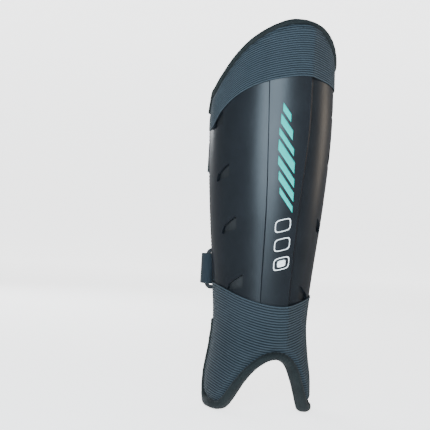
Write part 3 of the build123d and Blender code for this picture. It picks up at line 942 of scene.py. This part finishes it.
@dataclass
class HardShell:
    """The moulded shell, and the print on its raised panel."""

    ink_lift: float = 0.00012
    bar_slant: float = -1.3
    bars: tuple = (
        (0.0045, 0.2860, 0.0080, 0.0075), (0.0052, 0.2725, 0.0120, 0.0090), (0.0058, 0.2585, 0.0150, 0.0065),
        (0.0066, 0.2450, 0.0165, 0.0105), (0.0072, 0.2305, 0.0165, 0.0080), (0.0080, 0.2170, 0.0155, 0.0085),
        (0.0088, 0.2040, 0.0135, 0.0060))
    rings: tuple = (
        (0.0075, 0.1800, 0.0150, 0.0120), (0.0080, 0.1620, 0.0150, 0.0120),
        (0.0085, 0.1440, 0.0150, 0.0120))
    ring_line: float = 0.0009

    def build(self) -> None:
        """Finishes the shell and lays the print on it."""
        repaint("shell", Finish.SHELL)
        bars = [self.bar(k, *sizes) for k, sizes in enumerate(self.bars)]
        rings = [self.ring(f"print_ring_{k}", *sizes, self.ring_line) for k, sizes in enumerate(self.rings)]
        x, z, wide, high = self.rings[-1]
        rings.append(self.ring("print_centre", x, z, wide * 0.52, high * 0.52, wide * 0.25))
        for piece, finish in [(p, Finish.CYAN) for p in bars] + [(p, Finish.PALE) for p in rings]:
            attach(dress(thicken(piece, 0.00008), finish, Slot.SHELL), "guard")

    def on_panel(self, x: Array, z: Array) -> Array:
        """Returns points on the panel's face, lifted by the ink's thickness."""
        return LEG.cover(LEG.across(x, z, LEG.shell_face + self.ink_lift), z, self.ink_lift)

    def bar(self, number: int, x: float, z: float, wide: float, high: float) -> bpy.types.Object:
        """A slanted printed bar.

        Args:
            number: which bar it is.
            x: its middle across.
            z: its middle height.
            wide: its width.
            high: its height.

        Returns:
            The piece.
        """
        def place(u: Array, v: Array) -> Array:
            across = x + (u - 0.5) * wide
            return self.on_panel(across, z + (v - 0.5) * high + self.bar_slant * (across - x))
        return grid_piece(f"print_bar_{number}", 12, 4, place, flat_size(wide, high))

    def ring(self, name: str, x: float, z: float, wide: float, high: float, line: float) -> bpy.types.Object:
        """A printed outline of a rounded oblong.

        Args:
            name: the piece's name.
            x: its middle across.
            z: its middle height.
            wide: its width.
            high: its height.
            line: the outline's thickness.

        Returns:
            The piece.
        """
        section = oval(40, 4.0)

        def place(u: Array, v: Array) -> Array:
            k = np.rint(u * 40).astype(int)
            across = x + section[k, 0] * (wide / 2 - line * v)
            up = z + section[k, 1] * (high / 2 - line * v) + 0.3 * (across - x)
            return self.on_panel(across, up)
        return grid_piece(name, 40, 2, place, flat_size(2 * (wide + high), line), flip=True)


@dataclass
class Liner:
    """The foam, the lining and the folded tape on the wings' rear edges."""

    foam: tuple[float, float] = (0.00095, 0.00695)
    bottom: float = 0.096
    top_drop: float = 0.0085
    lining_lift: float = 0.00055
    puff: float = 0.0011
    channel: float = 0.028
    tape_back: float = 0.0172
    tape_bottom: float = 0.1005

    def build(self) -> None:
        """Makes the liner's pieces."""
        def top(q: Array) -> Array:
            return EDGES.rim_z(q, self.top_drop)

        foam = pillow("foam_core", lambda z: -LEG.rear_q(z), LEG.rear_q,
                      lambda q: np.full(q.shape, self.bottom), top, self.foam, 90, 48, 14.0, 30.0)
        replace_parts(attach(dress(foam, Finish.FOAM, Slot.FOAM), "guard"), "foam_liner")
        lining = self.lining(top)
        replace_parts(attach(dress(lining, Finish.LINING, Slot.LINING), "guard"), "lining_fabric")
        for side, name in ((-1, "left"), (1, "right")):
            self.binding(side, name)

    def lining(self, top: Callable[[Array], Array]) -> bpy.types.Object:
        """Returns the brushed lining, quilted in upright channels."""
        def place(u: Array, v: Array) -> Array:
            z = np.full(u.shape, 0.2)
            for _ in range(4):
                q = around_guard(u, z)
                z = self.bottom + (top(q) - self.bottom) * v
            across = np.abs(np.sin(math.pi * q * 0.078 / self.channel))
            edge = smooth_step(np.minimum(v, 1 - v) * 18) * smooth_step(np.minimum(u, 1 - u) * 18)
            puff = self.puff * across ** 0.55 * edge * (1 + 0.25 * soft_noise(q * 9, z * 160, 3))
            return LEG.point(q, z, self.lining_lift - puff)
        sheet = grid_piece("lining_cloth", 150, 90, place, flat_size(0.155, 0.262), flip=False)
        return thicken(sheet, LINING_THICK)

    def binding(self, side: int, name: str) -> None:
        """Makes one wing's folded tape and its seam.

        Args:
            side: -1 for left, 1 for right.
            name: the side's name.
        """
        middle = LEG.rear + (self.tape_back - LEG.rear) / 2
        z = np.linspace(self.tape_bottom, 0.36, 500)
        q = side * LEG.rear_q(z, middle - LEG.rear)
        inside = z < EDGES.rim_z(q, self.top_drop)
        z, q = z[inside], q[inside]
        out = LEG.outward(q, z)
        wave = soft_noise(z * 900, z * 210, 11 + side) * 0.00012
        tape = swept(f"{name}_edge_tape", LEG.point(q, z, 0.0050 + wave), out, 0.0030, 0.0099,
                     flat_section(0.0030, 0.0099, 0.0014, 6))
        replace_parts(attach(dress(tape, Finish.TAPE, Slot.TAPE), "guard"), f"{name}_binding")
        seam = stitches(f"{name}_tape_seam", LEG.point(q, z, 0.0100), out, 0.0036)
        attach(dress(seam, Finish.THREAD, Slot.TAPE), "guard")


@dataclass
class TopCuff:
    """The ribbed cuff over the shell's top, and the padded roll on the rim."""

    lift: float = 0.0010
    pitch: float = 0.0021
    rib: float = 0.00042
    height: float = 0.064
    roll_height: float = 0.0075
    roll_layer: tuple[float, float] = (-0.0005, 0.0124)

    def build(self) -> None:
        """Makes the cuff, the roll and the seam between them."""
        cuff = thicken(self.cuff(), ELASTIC_THICK)
        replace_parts(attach(dress(cuff, Finish.CUFF, Slot.ELASTIC), "guard"), "top_cuff")
        roll = self.roll()
        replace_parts(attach(dress(roll, Finish.ROLL, Slot.RIM), "guard"), "top_bumper")
        u = np.linspace(0.02, 0.98, 400)
        q, z = settled(u, lambda q: EDGES.rim_z(q, 0.0092), 0.0)
        seam = stitches("cuff_top_seam", LEG.cover(q, z, self.lift - 0.0003, True), LEG.outward(q, z),
                        SEAM_STEP, SEAM_STITCH)
        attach(dress(seam, Finish.THREAD, Slot.ELASTIC), "guard")

    def cuff(self) -> bpy.types.Object:
        """Returns the ribbed cuff, its ribs level with its lower edge."""
        def edge(q: Array) -> Array:
            return EDGES.over(EDGES.cuff, q, LEG.shell_face, 0.30)

        def place(u: Array, v: Array) -> Array:
            rise = v * self.height
            q, z = settled(u, edge, rise)
            gap = EDGES.rim_z(q, self.roll_height) - z
            strength = (smooth_step((gap - 0.0035) / 0.002) * smooth_step(rise / 0.0012)
                        * smooth_step((q + 1.35) / 0.5))
            rib = 0.5 - 0.5 * np.cos(2 * math.pi * rise / self.pitch)
            uneven = 1 + 0.18 * soft_noise(q * 6, z * 90, 5)
            tuck = 0.0010 * (1 - smooth_step((gap + 0.0005) / 0.0028))
            return LEG.cover(q, z, self.lift - 0.0002 - tuck + self.rib * rib * strength * uneven, True)

        def keep(u: Array, v: Array, points: Array) -> Array:
            q, z = settled(u, edge, v * self.height)
            return z < EDGES.rim_z(q, 0.0060)
        rows = int(self.height / self.pitch * 7)
        return grid_piece("ribbed_cuff", 150, rows, place, flat_size(0.185, self.height), keep)

    def roll(self) -> bpy.types.Object:
        """Returns the padded roll along the rim, gathered where it turns."""
        u = np.linspace(0, 1, 1200)
        z = np.full(u.shape, 0.3)
        for _ in range(6):
            q = around_guard(u, z, 0.0030)
            z = EDGES.rim_z(q, self.roll_height / 2)
        inner, outer = self.roll_layer
        path = resampled(np.stack([q, z, z * 0], -1) * [0.078, 1, 1], 0.0006)
        q, z = smoothed(path[:, 0], 5) / 0.078, smoothed(path[:, 1], 5)
        points = LEG.point(q, z, (inner + outer) / 2 + 0.0003)
        ahead = np.gradient(points, axis=0)
        level = np.hypot(ahead[:, 0], ahead[:, 1]) / np.linalg.norm(ahead, axis=1)
        width = self.roll_height * np.clip(level, 0.45, 1) - 0.0002
        ends = end_taper(len(points), 6)

        def ripple(along: Array, side: Array) -> Array:
            fine = soft_noise(along * 4200, side * 2, 21, 7) * 0.00013
            return fine + soft_noise(along * 900, side * 3, 22) * 0.00016 - 0.00012
        return swept("rim_roll", points, LEG.outward(q, z), width * ends, (outer - inner) * ends,
                     oval(26, 2.5), ripple)


def smoothed(values: Array, reach: int) -> Array:
    """Returns values averaged with their neighbours, with the ends held."""
    padded = np.concatenate([np.full(reach, values[0]), values, np.full(reach, values[-1])])
    return np.convolve(padded, np.ones(2 * reach + 1) / (2 * reach + 1), "valid")


def end_taper(count: int, reach: int) -> Array:
    """Returns 1 along a path, rounding down to a small size over its last few points."""
    from_end = np.minimum(np.arange(count), np.arange(count)[::-1]) / reach
    t = np.clip(1 - from_end, 0, 1)
    return np.clip(np.sqrt(1 - t ** 2 * 0.97), 0.05, 1)


@dataclass
class Ankle:
    """The flexing ankle part: its sleeve, lining, three pads and the roll round its lower edge."""

    lift: float = 0.0010
    pitch: float = 0.0025
    rib: float = 0.0005
    height: float = 0.134
    roll_width: float = 0.0085
    roll_layer: tuple[float, float] = (-0.0005, 0.0124)
    pad_layer: tuple[float, float] = (0.0016, 0.0088)
    bend_top: float = 0.099
    bend_foot: float = 0.075
    instep_half: float = 0.022
    lining_top: float = 0.0955

    def build(self) -> None:
        """Makes the ankle's pieces."""
        sleeve = thicken(self.sleeve(), ELASTIC_THICK)
        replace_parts(dress(sleeve, Finish.SLEEVE, Slot.ELASTIC), "ankle_sleeve")
        self.bend(sleeve)
        lining = thicken(self.lining(), LINING_THICK)
        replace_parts(dress(lining, Finish.LINING, Slot.LINING), "ankle_lining")
        self.bend(lining)
        self.pads()
        roll = self.roll()
        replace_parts(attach(dress(roll, Finish.ROLL, Slot.RIM), "ankle"), "ankle_bumper")
        u = np.linspace(0.015, 0.985, 400)
        q, z = settled(u, self.top_edge, -0.0021)
        seam = stitches("sleeve_hem_seam", LEG.cover(q, z, self.lift + 0.0004, True), LEG.outward(q, z),
                        SEAM_STEP, SEAM_STITCH)
        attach(dress(seam, Finish.THREAD, Slot.ELASTIC), "guard")

    def bend(self, piece: bpy.types.Object) -> None:
        """Bakes a piece's placement into its mesh."""
        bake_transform(piece)

    def top_edge(self, q: Array) -> Array:
        """Returns the height of the sleeve's upper edge at each q."""
        return EDGES.over(EDGES.sleeve, q, LEG.shell_face, 0.11)

    def sleeve(self) -> bpy.types.Object:
        """Returns the ribbed sleeve, with a plain hem along its top."""
        def place(u: Array, v: Array) -> Array:
            drop = v * self.height
            q, z = settled(u, self.top_edge, -drop)
            gap = z - EDGES.foot_z(q, self.roll_width)
            hem = 1 - smooth_step((drop - 0.0026) / 0.0007)
            near = smooth_step((gap + 0.001) / 0.008)
            rib = 0.5 - 0.5 * np.cos(2 * math.pi * drop / self.pitch)
            strength = smooth_step((drop - 0.0030) / 0.0012) * (0.35 + 0.65 * near)
            uneven = 1 + 0.22 * soft_noise(q * 7, z * 120, 6)
            dip = 0.0030 * (1 - near) + 0.0002
            return LEG.cover(q, z, self.lift - dip + 0.0004 * hem + self.rib * rib * strength * uneven, True)

        def keep(u: Array, v: Array, points: Array) -> Array:
            q, z = settled(u, self.top_edge, -v * self.height)
            return z > EDGES.foot_z(q, 0.0036)
        rows = int(self.height / self.pitch * 7)
        return grid_piece("ribbed_sleeve", 140, rows, place, flat_size(0.160, self.height), keep, flip=True)

    def lining(self) -> bpy.types.Object:
        """Returns the lining on the leg side of the pads."""
        def place(u: Array, v: Array) -> Array:
            z = np.full(u.shape, 0.05)
            for _ in range(5):
                q = around_guard(u, z)
                foot = EDGES.foot_z(q, 0.005)
                z = foot + (self.lining_top - foot) * v
            line = np.abs(LEG.point(q, z, 0.0)[:, 0]) - self.instep_half
            seam = np.exp(-(line / 0.0016) ** 2)
            puff = 0.0007 * (1 - seam) * smooth_step((self.lining_top - z) / 0.01)
            return LEG.point(q, z, 0.00055 - puff * (1 + 0.3 * soft_noise(q * 9, z * 150, 8)))
        return grid_piece("ankle_lining_cloth", 120, 60, place, flat_size(0.130, 0.090))

    def pads(self) -> None:
        """Makes the instep pad and the two side pads."""
        def low(q: Array) -> Array:
            return EDGES.foot_z(q, 0.0118)

        def high(q: Array) -> Array:
            return EDGES.flex_z(q, 0.006) - 0.001

        def edge(x: float) -> Callable[[Array], Array]:
            return lambda z: LEG.across(x, np.clip(z, 0, 0.3), 0.005)
        rear = 0.0075 - LEG.rear
        spans = {
            "instep_pad": (edge(-self.instep_half + 0.0008), edge(self.instep_half - 0.0008)),
            "left_ankle_pad": (lambda z: -LEG.rear_q(z, rear), edge(-self.instep_half - 0.0012)),
            "right_ankle_pad": (edge(self.instep_half + 0.0012), lambda z: LEG.rear_q(z, rear)),
        }
        for node, (start, stop) in spans.items():
            pad = pillow(f"{node}_fill", start, stop, low, high, self.pad_layer, 36, 28, 3.2, 5.0)
            swell(pad, 0.003, 0.0006)
            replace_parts(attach(dress(pad, Finish.FOAM, Slot.FOAM), "ankle"), node)

    def roll_line(self) -> tuple[Array, Array]:
        """Returns the q and z of the roll's centre, from the left rear edge round to the right one."""
        inset = self.roll_width / 2
        radius = EDGES.lobe_corner - inset
        back = EDGES.lobe_rear - inset
        down = np.linspace(0.0855, EDGES.lobe_corner, 80)
        side = [((back + 0 * down), down)]
        turn = np.linspace(0, math.pi / 2, 40)
        side.append((EDGES.lobe_rear - EDGES.lobe_corner + radius * np.cos(turn),
                     EDGES.lobe_corner - radius * np.sin(turn)))
        y, z = (np.concatenate(part) for part in zip(*side))
        q_side = 1 + (y + LEG.forward(z)) / LEG.straight
        ax, az = EDGES.arch_line(inset)
        arch = az > inset
        q_arch = LEG.across(ax[arch], az[arch], 0.006)
        q = np.concatenate([-q_side, q_arch, q_side[::-1]])
        z = np.concatenate([z, az[arch], z[::-1]])
        line = resampled(np.stack([q * 0.072, z], -1), 0.0006)
        return smoothed(line[:, 0], 7) / 0.072, smoothed(line[:, 1], 7)

    def roll(self) -> bpy.types.Object:
        """Returns the padded roll, gathered over the arch."""
        q, z = self.roll_line()
        inner, outer = self.roll_layer
        points = LEG.point(q, z, (inner + outer) / 2 + 0.0004)
        x_at, along = points[:, 0], lengths_along(points)
        over = np.exp(-((x_at - 0.006) / 0.017) ** 2) * (z > 0.02)
        ends = end_taper(len(points), 6)

        def ripple(length: Array, side: Array) -> Array:
            gather = np.interp(length, along, over)
            crease = np.sin(2 * math.pi * (length / 0.0030 + 0.4 * soft_noise(length * 300, side * 2, 31)))
            fine = soft_noise(length * 3900, side * 2, 32, 7) * 0.00010
            return (fine + soft_noise(length * 700, side * 3, 33) * 0.00018
                    - gather * 0.00038 * (0.5 + 0.5 * crease) - 0.0001)
        return swept("ankle_roll", points, LEG.outward(q, z), self.roll_width * ends, (outer - inner) * ends,
                     oval(26, 2.5), ripple)


def clamped_spline(points: Sequence[tuple[float, float]], start: Sequence[float], stop: Sequence[float],
                   count: int = 240) -> Array:
    """A smooth plan curve through points, with set directions at its ends.

    Args:
        points: where it goes.
        start: its direction at the first point.
        stop: its direction at the last point.
        count: how many points to return.

    Returns:
        Points along the curve.
    """
    p = np.array(points, float)
    chord = lengths_along(p)
    h = np.diff(chord)
    rise = np.diff(p, axis=0) / h[:, None]
    n = len(p)
    system, wanted = np.eye(n), np.zeros((n, 2))
    wanted[0] = np.array(start, float) / np.linalg.norm(start)
    wanted[-1] = np.array(stop, float) / np.linalg.norm(stop)
    for i in range(1, n - 1):
        system[i, i - 1:i + 2] = h[i], 2 * (h[i - 1] + h[i]), h[i - 1]
        wanted[i] = 3 * (h[i] * rise[i - 1] + h[i - 1] * rise[i])
    slope = np.linalg.solve(system, wanted)
    at = np.linspace(0, chord[-1], count)
    i = np.clip(np.searchsorted(chord, at) - 1, 0, n - 2)
    t, span = ((at - chord[i]) / h[i])[:, None], h[i][:, None]
    low = (1 + 2 * t) * (1 - t) ** 2 * p[i] + t * (1 - t) ** 2 * span * slope[i]
    return low + t * t * (3 - 2 * t) * p[i + 1] - t * t * (1 - t) * span * slope[i + 1]


def arc(centre: tuple[float, float], radius: float, start: float, stop: float, count: int = 40) -> Array:
    """Returns plan points of an arc, with its angles in degrees."""
    angle = np.radians(np.linspace(start, stop, count))
    return np.array(centre) + radius * np.stack([np.cos(angle), np.sin(angle)], -1)


@dataclass
class Strap:
    """One closing strap: the band, its peeling tab, the hook and loop patches, the ring and its keeper."""

    name: str
    middle: float
    ring_x: float
    width: float = 0.030
    web: float = 0.0016
    patch: float = 0.0012
    clear: float = 0.0009
    fold: float = 0.0054
    ring_y: float = 0.026
    bar_gap: float = 0.012
    keeper_loop: float = 0.0039
    sew_end: float = 0.013
    hinge_y: float = 0.031
    tab_out: float = 0.0046
    hinge_gap: float = 0.0012
    tab_span: tuple[float, float] = (0.70, 0.44)
    loop_span: tuple[float, float] = (0.28, 0.68)
    hook_span: tuple[float, float] = (0.47, 0.67)
    loop_lift: float = 0.00145
    hook_lift: float = 0.00315
    edge_inset: float = 0.002
    sewn: tuple[float, float] = (0.002, 0.011)
    tab_sewn: tuple[float, float] = (0.030, 0.005)
    back_swell: float = 0.97

    def __post_init__(self) -> None:
        """Lays out the band's and the tab's lines in plan."""
        low = self.middle - self.width / 2
        both = LEG.half_width(np.array([low, low + self.width]))
        self.inside = float(both.min()) - self.clear - self.web / 2
        inner, self.outer_leg = self.ring_x + self.fold, self.ring_x - self.fold
        swell_back = self.back_swell * self.inside
        round_calf = clamped_spline([
            (self.inside, 0.001), (self.inside, self.sew_end),
            (0.84 * self.inside, self.sew_end + 0.5 * swell_back),
            (0.5 * self.inside, self.sew_end + 0.87 * swell_back), (0, self.sew_end + swell_back),
            (-0.62 * self.inside, self.sew_end + 0.87 * swell_back),
            (0.93 * inner, self.sew_end + 0.61 * swell_back), (inner, self.ring_y)], (0, 1), (0, -1))
        bend = arc((self.ring_x, self.ring_y), self.fold, 0, -180)
        leg = np.array([(self.outer_leg, self.ring_y + 0.002),
                        (self.outer_leg, self.hinge_y - self.hinge_gap)])
        self.band_line = resampled(np.concatenate([round_calf, bend[1:], leg]), 0.0015)
        first, last = self.tab_span
        shares = first + (last - first) * np.arange(8) / 7
        beside = [tuple(self.beside(self.band_line, share, self.tab_out)) for share in shares]
        ahead = self.heading(self.band_line, last)
        tab = clamped_spline([(self.outer_leg, self.hinge_y + self.hinge_gap), *beside], (0, 1), -ahead)
        start = np.array([(self.outer_leg, self.hinge_y - self.hinge_gap)])
        self.tab_line = resampled(np.concatenate([start, tab]), 0.0015)

    @staticmethod
    def heading(line: Array, share: float) -> Array:
        """Returns a plan line's direction at a share of its length."""
        along = lengths_along(line)
        step = np.interp(np.array([share - 0.005, share + 0.005]) * along[-1], along, np.arange(len(line)))
        ends = np.stack([np.interp(step, np.arange(len(line)), line[:, k]) for k in range(2)], -1)
        return (ends[1] - ends[0]) / np.linalg.norm(ends[1] - ends[0])

    @classmethod
    def beside(cls, line: Array, share: float, distance: float) -> Array:
        """Returns the point a distance outside a plan line at a share of its length."""
        along = lengths_along(line)
        at = np.array([np.interp(share * along[-1], along, line[:, k]) for k in range(2)])
        ahead = cls.heading(line, share)
        return at + distance * np.array([ahead[1], -ahead[0]])

    def ribbon(self, name: str, line: Array, width: float, thick: float) -> bpy.types.Object:
        """A strip of webbing or tape along a plan line.

        Args:
            name: the piece's name.
            line: the plan line of its middle.
            width: its height up the leg.
            thick: its thickness.

        Returns:
            The piece.
        """
        path = np.column_stack([line, np.full(len(line), self.middle)])
        ahead = np.gradient(line, axis=0)
        out = np.column_stack([ahead[:, 1], -ahead[:, 0], np.zeros(len(line))])
        return swept(name, path, out, width, thick, flat_section(width, thick, min(0.0006, thick * 0.45), 14))

    def part_of(self, share_from: float, share_to: float, distance: float) -> Array:
        """Returns the plan line beside the band between two shares of its length."""
        shares = np.linspace(share_from, share_to, 60)
        return np.array([self.beside(self.band_line, share, distance) for share in shares])

    def sewn_box(self, name: str, line: Array, lift: float, start: float, stop: float) -> bpy.types.Object:
        """A box of stitches with a cross in it, on a strip.

        Args:
            name: the piece's name.
            line: the strip's plan line.
            lift: how far outside the line the stitches lie.
            start: where the box starts along the strip.
            stop: where it ends.

        Returns:
            The piece.
        """
        half = self.width / 2 - 0.0035
        corners = np.array([(start, -half), (stop, -half), (stop, half), (start, half), (start, -half),
                            (stop, half), (start, half), (stop, -half)])
        path = resampled(corners, 0.0008)
        along = lengths_along(line)
        flat = np.stack([np.interp(path[:, 0], along, line[:, k]) for k in range(2)], -1)
        ahead = np.stack([np.interp(path[:, 0], along, np.gradient(line[:, k])) for k in range(2)], -1)
        out = np.column_stack([ahead[:, 1], -ahead[:, 0], np.zeros(len(ahead))])
        out /= np.linalg.norm(out, axis=1, keepdims=True)
        points = np.column_stack([flat, self.middle + path[:, 1]]) + out * lift
        return stitches(name, points, out * np.sign(lift), 0.0031, 0.0022)

    def build(self) -> None:
        """Makes the strap's pieces."""
        name = self.name
        band = self.ribbon(f"{name}_band", self.band_line, self.width, self.web)
        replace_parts(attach(dress(band, Finish.STRAP, Slot.STRAP), "guard"), f"{name}_strap")
        float(lengths_along(self.band_line)[-1])
        tab = self.ribbon(f"{name}_tab_web", self.tab_line, self.width, self.web)
        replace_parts(dress(tab, Finish.STRAP, Slot.STRAP), f"{name}_tab")
        float(lengths_along(self.tab_line)[-1])
        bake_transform(tab)
        self.patches()
        self.keeper()
        repaint(f"{name}_ring", Finish.RING)
        for piece, body in (
                (self.sewn_box(f"{name}_band_stitches", self.band_line, -self.web / 2, *self.sewn), "guard"),
                (self.sewn_box(f"{name}_tab_stitches", self.tab_line, self.web / 2,
                               *(lengths_along(self.tab_line)[-1] - back for back in self.tab_sewn)),
                 f"{name}_tab")):
            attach(dress(piece, Finish.THREAD, Slot.STRAP), body)

    def patches(self) -> None:
        """Makes the pile on the band and the hooks under the tab."""
        high = self.width - self.edge_inset
        loop_line = self.part_of(*self.loop_span, self.loop_lift)
        pile = self.ribbon(f"{self.name}_pile", loop_line, high, self.patch)
        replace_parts(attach(dress(pile, Finish.PILE, Slot.PILE), "guard"), f"{self.name}_loop_patch")
        float(lengths_along(loop_line)[-1])
        hook_line = self.part_of(*self.hook_span, self.hook_lift)
        hooks = self.ribbon(f"{self.name}_hooks", hook_line, high, self.patch)
        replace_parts(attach(dress(hooks, Finish.HOOKS, Slot.HOOK), f"{self.name}_tab"),
                    f"{self.name}_hook_patch")

    def keeper(self) -> None:
        """Makes the short loop of webbing that holds the ring to the left wing."""
        bar = (self.ring_x + self.bar_gap, self.ring_y)
        run = clamped_spline([(-self.inside, 0.001), (-self.inside, self.sew_end),
                              (-self.inside + 0.0004, LEG.rear + 0.0045),
                              (bar[0] + self.keeper_loop, self.ring_y)],
                             (0, 1), (0, 1), 80)
        loop = arc(bar, self.keeper_loop, 0, 332)
        line = resampled(np.concatenate([run, loop[1:]]), 0.0010)
        web = self.ribbon(f"{self.name}_keeper_web", line, self.width - self.edge_inset, self.web)
        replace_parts(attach(dress(web, Finish.STRAP, Slot.STRAP), "guard"), f"{self.name}_keeper")
        float(lengths_along(line)[-1])
        box = self.sewn_box(f"{self.name}_keeper_stitches", line, self.web / 2, *self.sewn)
        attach(dress(box, Finish.THREAD, Slot.STRAP), "guard")


@dataclass
class Studio:
    """The plain floor, the soft lights and the camera."""

    azimuth: float = -6.4
    distance: float = 1.1
    lens: float = 93.0
    roll: float = 3.4
    aside: float = 0.0507
    height: float = 0.189
    floor_half: float = 4.0
    floor_glow: float = 2.2
    room_colour: tuple = (0.94, 0.96, 1.0, 1)
    room_strength: float = 0.30
    aim_height: float = 0.19
    lights: tuple = (
        ("key", (-0.34, -1.30, 0.42), 0.85, 30.0, (0.66, 0.85, 1.0)),
        ("fill", (0.6, -1.2, 0.9), 1.2, 1.5, (1.0, 0.99, 0.97)),
        ("edge", (1.1, 0.25, 0.35), 0.4, 1.6, (1.0, 0.84, 0.66)),
        ("back", (-0.5, 1.2, 0.7), 0.8, 9.0, (0.92, 0.96, 1.0)))

    def build(self) -> None:
        """Sets up the studio."""
        self.floor()
        world = bpy.data.worlds.new("pale_room")
        world.use_nodes = True
        world.node_tree.nodes["Background"].inputs["Color"].default_value = self.room_colour
        world.node_tree.nodes["Background"].inputs["Strength"].default_value = self.room_strength
        bpy.context.scene.world = world
        for name, place, size, power, colour in self.lights:
            light = bpy.data.lights.new(name, "AREA")
            light.shape = "DISK"
            light.size, light.energy, light.color = size, power, colour
            lamp = bpy.data.objects.new(name, light)
            lamp.location = place
            aim = Vector((0, 0, self.aim_height)) - Vector(place)
            lamp.rotation_euler = aim.to_track_quat("-Z", "Y").to_euler()
            bpy.context.scene.collection.objects.link(lamp)
        self.camera()

    def floor(self) -> None:
        """Makes the floor, which sweeps up into a backdrop far behind."""
        def place(u: Array, v: Array) -> Array:
            length = v * 2.4 * self.floor_half - self.floor_half
            past = np.clip(length - 2.6, 0, None)
            turn = np.clip(past / 1.0, 0, math.pi / 2)
            y = np.minimum(length, 2.6) + np.sin(turn)
            z = 1 - np.cos(turn) + np.clip(past - math.pi / 2, 0, None)
            return np.stack([(u - 0.5) * 3 * self.floor_half, y, z], -1)
        floor = grid_piece("floor_sweep", 4, 60, place, flat_size(1, 1))
        n = Nodes("pale_floor_matte")
        n.set(base_color=(0.90, 0.90, 0.90, 1.0), roughness=0.95, emission_color=(1.0, 1.0, 1.0, 1.0),
              emission_strength=self.floor_glow)
        floor.data.materials.append(n.material)
        floor.visible_glossy = False  # the plastic doesn't mirror the bright floor at its edges

    def camera(self) -> None:
        """Places the camera."""
        a, r = math.radians(self.azimuth), math.radians(self.roll)
        away = Vector((math.sin(a), -math.cos(a), 0))
        right, up = Vector((math.cos(a), math.sin(a), 0)), Vector((0, 0, 1))
        across = right * math.cos(r) + up * math.sin(r)
        upright = up * math.cos(r) - right * math.sin(r)
        data = bpy.data.cameras.new("view")
        data.lens, data.sensor_width = self.lens, 36.0
        data.dof.use_dof = False
        camera = bpy.data.objects.new("view", data)
        place = Vector((0, 0, self.height)) - across * self.aside + away * self.distance
        turn = Matrix((across, upright, away)).transposed().to_4x4()
        camera.matrix_world = Matrix.Translation(place) @ turn
        bpy.context.scene.collection.objects.link(camera)
        bpy.context.scene.camera = camera


def main() -> None:
    """Builds the guard and its studio."""
    logging.basicConfig(level=logging.INFO, format="%(message)s")
    parts = [HardShell(), Liner(), TopCuff(), Ankle(), Strap("upper", 0.244, -0.0515),
             Strap("lower", 0.132, -0.0523), Studio()]
    for part in parts:
        part.build()
        LOG.info("built %s", type(part).__name__)


if __name__ == "__main__":
    main()
